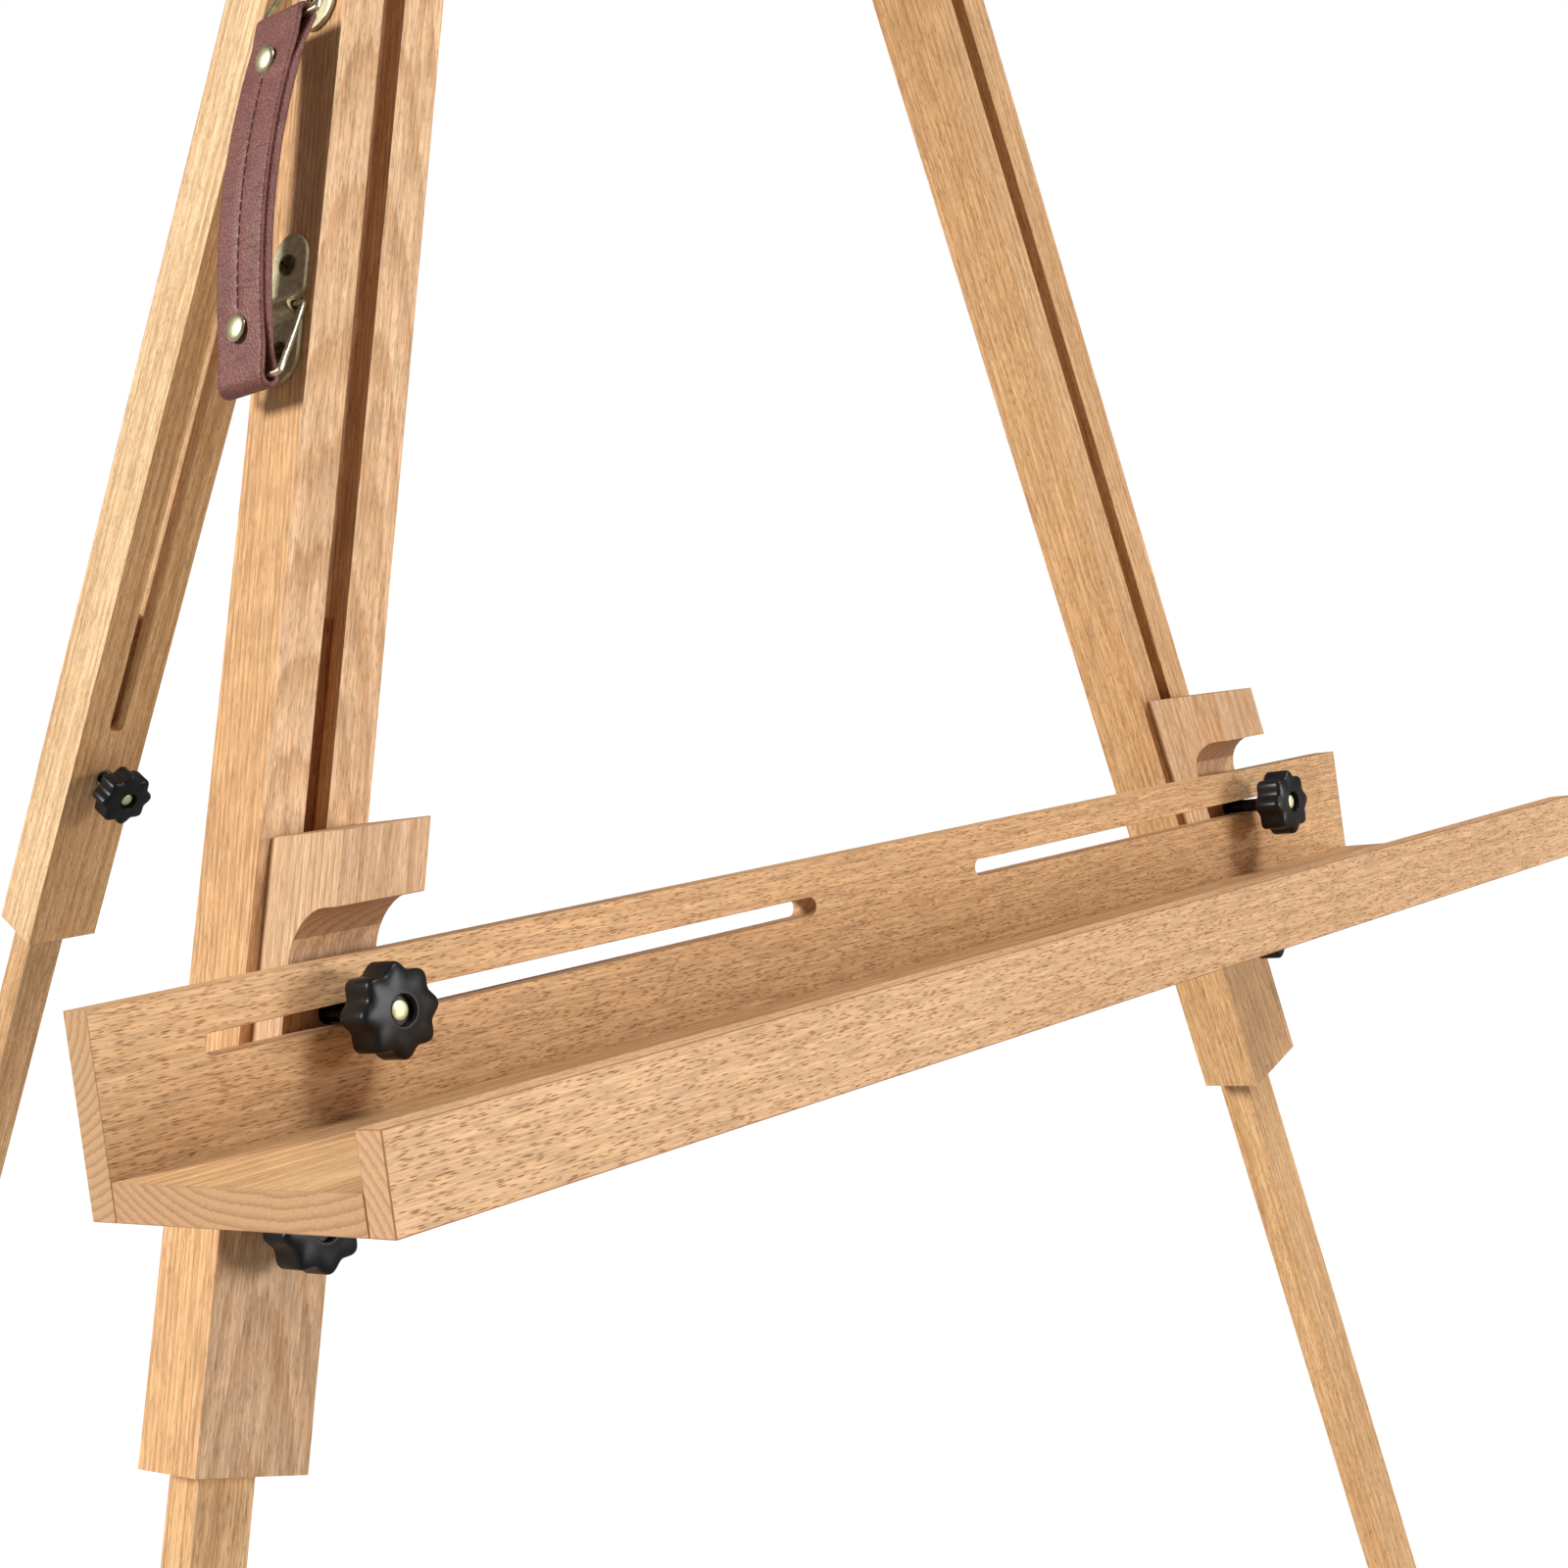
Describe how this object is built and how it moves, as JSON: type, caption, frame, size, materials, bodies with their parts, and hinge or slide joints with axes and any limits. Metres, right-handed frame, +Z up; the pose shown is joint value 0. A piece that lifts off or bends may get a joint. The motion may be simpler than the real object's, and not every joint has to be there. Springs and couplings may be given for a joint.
{
  "type": "tripod field easel",
  "caption": "Folding beech tripod easel with telescoping legs, a slotted paint tray on two canvas brackets, a sliding mast with an upper clamp, and a leather carry handle",
  "frame": {"origin": "on the floor, under the middle of the box that the standing easel fills", "axes": "+X to the artist's right, +Y away from the artist, +Z up"},
  "size_m": [0.9444, 0.985, 1.6622],
  "materials": {
    "beech": "oiled, fine sanded, with short dark flecks",
    "beech_tray": "oiled, fine sanded",
    "black_plastic": "moulded, satin",
    "black_steel": "blackened",
    "zinc_steel": "zinc plated",
    "old_brass": "antique, satin",
    "rubber": "moulded",
    "leather": "grained, semi-gloss, red stitching"
  },
  "bodies": {
    "head": {"head_block": "beech", "pivot_bolt_left": "zinc_steel", "pivot_bolt_right": "zinc_steel", "pivot_nut_left": "zinc_steel", "pivot_nut_right": "zinc_steel", "rear_hinge_bolt": "zinc_steel", "rear_hinge_nut": "zinc_steel"},
    "leg_left": {"front_leg_left": "beech", "leg_insert_left": "old_brass", "handle_plate_lower": "old_brass", "handle_plate_upper": "old_brass", "handle_screw_lower_a": "old_brass", "handle_screw_lower_b": "old_brass", "handle_screw_upper_a": "old_brass", "handle_screw_upper_b": "old_brass"},
    "leg_right": {"front_leg_right": "beech", "leg_insert_right": "old_brass"},
    "leg_rear": {"rear_leg": "beech", "leg_insert_rear": "old_brass"},
    "lower_leg_left": {"lower_leg_left": "beech", "foot_left": "rubber"},
    "lower_leg_right": {"lower_leg_right": "beech", "foot_right": "rubber"},
    "lower_leg_rear": {"lower_leg_rear": "beech", "foot_rear": "rubber"},
    "leg_knob_left": {"leg_knob_left": "black_plastic", "leg_knob_bolt_left": "black_steel"},
    "leg_knob_right": {"leg_knob_right": "black_plastic", "leg_knob_bolt_right": "black_steel"},
    "leg_knob_rear": {"leg_knob_rear": "black_plastic", "leg_knob_bolt_rear": "black_steel"},
    "bracket_left": {"bracket_left": "beech"},
    "bracket_right": {"bracket_right": "beech", "tray_bolt_right": "black_steel"},
    "tray_pivot": {"tray_bolt_left": "black_steel"},
    "tray": {"tray_back": "beech_tray", "tray_floor": "beech_tray", "tray_front": "beech_tray"},
    "tray_knob_left": {"tray_knob_left": "black_plastic"},
    "tray_knob_right": {"tray_knob_right": "black_plastic"},
    "mast": {"mast": "beech"},
    "mast_knob": {"mast_knob": "black_plastic", "mast_knob_bolt": "black_steel"},
    "top_clamp": {"top_clamp": "beech"},
    "clamp_knob": {"clamp_knob": "black_plastic", "clamp_knob_bolt": "black_steel"},
    "handle": {"handle_strap": "leather", "handle_rivet_lower": "old_brass", "handle_rivet_upper": "old_brass"},
    "handle_loop_lower": {"handle_loop_lower": "old_brass"},
    "handle_loop_upper": {"handle_loop_upper": "old_brass"}
  },
  "joints": [
    {"name": "leg_fold_left", "type": "hinge", "parent": "head", "child": "leg_left", "pos_m": [-0.04025, -0.21485, 1.3665], "axis": [0, -0.9842, 0.1771], "range_deg": [0, 13.25]},
    {"name": "leg_fold_right", "type": "hinge", "parent": "head", "child": "leg_right", "pos_m": [0.04025, -0.21485, 1.3665], "axis": [0, -0.9842, 0.1771], "range_deg": [-13.25, 0]},
    {"name": "rear_leg_fold", "type": "hinge", "parent": "head", "child": "leg_rear", "pos_m": [0, -0.16702, 1.30089], "axis": [-1, 0, 0], "range_deg": [0, 36]},
    {"name": "lower_leg_slide_left", "type": "slide", "parent": "leg_left", "child": "lower_leg_left", "axis": [-0.2882, -0.1696, -0.9424], "range_m": [-0.505, 0.16]},
    {"name": "lower_leg_slide_right", "type": "slide", "parent": "leg_right", "child": "lower_leg_right", "axis": [0.2882, -0.1696, -0.9424], "range_m": [-0.505, 0.16]},
    {"name": "lower_leg_slide_rear", "type": "slide", "parent": "leg_rear", "child": "lower_leg_rear", "axis": [0, 0.4415, -0.8973], "range_m": [-0.577, 0.085]},
    {"name": "leg_knob_turn_left", "type": "hinge", "parent": "leg_left", "child": "leg_knob_left", "pos_m": [-0.28048, -0.3562, 0.58092], "axis": [0, -0.9842, 0.1771], "continuous": true},
    {"name": "leg_knob_turn_right", "type": "hinge", "parent": "leg_right", "child": "leg_knob_right", "pos_m": [0.28048, -0.3562, 0.58092], "axis": [0, -0.9842, 0.1771], "continuous": true},
    {"name": "leg_knob_turn_rear", "type": "hinge", "parent": "leg_rear", "child": "leg_knob_rear", "pos_m": [0, 0.14361, 0.63792], "axis": [0, -0.8973, -0.4415], "continuous": true},
    {"name": "bracket_slide_left", "type": "slide", "parent": "leg_left", "child": "bracket_left", "axis": [0.2882, 0.1696, 0.9424], "range_m": [0, 0.25]},
    {"name": "bracket_slide_right", "type": "slide", "parent": "leg_right", "child": "bracket_right", "axis": [-0.2882, 0.1696, 0.9424], "range_m": [0, 0.25]},
    {"name": "tray_level", "type": "hinge", "parent": "bracket_left", "child": "tray_pivot", "pos_m": [-0.26266, -0.34572, 0.63918], "axis": [0, -0.9842, 0.1771], "range_deg": [-13.25, 0]},
    {"name": "tray_slide", "type": "slide", "parent": "tray_pivot", "child": "tray", "axis": [1, 0, 0], "range_m": [-0.1758, 0]},
    {"name": "tray_knob_turn_left", "type": "hinge", "parent": "tray_pivot", "child": "tray_knob_left", "pos_m": [-0.26266, -0.34572, 0.63918], "axis": [0, -0.9842, 0.1771], "continuous": true},
    {"name": "tray_knob_turn_right", "type": "hinge", "parent": "bracket_right", "child": "tray_knob_right", "pos_m": [0.26266, -0.34572, 0.63918], "axis": [0, -0.9842, 0.1771], "continuous": true},
    {"name": "mast_slide", "type": "slide", "parent": "head", "child": "mast", "axis": [0, 0.1771, 0.9842], "range_m": [-0.06, 0.26]},
    {"name": "mast_knob_turn", "type": "hinge", "parent": "head", "child": "mast_knob", "pos_m": [0, -0.15411, 1.41044], "axis": [0, 0.9842, -0.1771], "continuous": true},
    {"name": "clamp_slide", "type": "slide", "parent": "mast", "child": "top_clamp", "axis": [0, 0.1771, 0.9842], "range_m": [-0.075, 0.01]},
    {"name": "clamp_knob_turn", "type": "hinge", "parent": "top_clamp", "child": "clamp_knob", "pos_m": [0, -0.12838, 1.62121], "axis": [0, 0.9842, -0.1771], "continuous": true},
    {"name": "handle_swing", "type": "hinge", "parent": "leg_left", "child": "handle_loop_lower", "pos_m": [-0.22009, -0.29448, 0.85053], "axis": [0, 0.9842, -0.1771], "range_deg": [0, 95]},
    {"name": "handle_level", "type": "hinge", "parent": "handle_loop_lower", "child": "handle", "pos_m": [-0.23759, -0.29863, 0.82745], "axis": [0, 0.9842, -0.1771], "range_deg": [-95, 0]},
    {"name": "handle_loop_turn_upper", "type": "hinge", "parent": "leg_left", "child": "handle_loop_upper", "pos_m": [-0.18522, -0.27396, 0.96457], "axis": [0, 0.9842, -0.1771], "range_deg": [0, 95]}
  ],
  "couplings": [
    {"joint": "leg_fold_right", "follows": "leg_fold_left", "ratio": -1},
    {"joint": "tray_level", "follows": "leg_fold_left", "ratio": -1},
    {"joint": "tray_slide", "follows": "leg_fold_left", "m_per_rad": -0.75803},
    {"joint": "bracket_slide_right", "follows": "bracket_slide_left", "ratio": 1},
    {"joint": "handle_level", "follows": "handle_swing", "ratio": -1},
    {"joint": "handle_loop_turn_upper", "follows": "handle_swing", "ratio": 1}
  ]
}
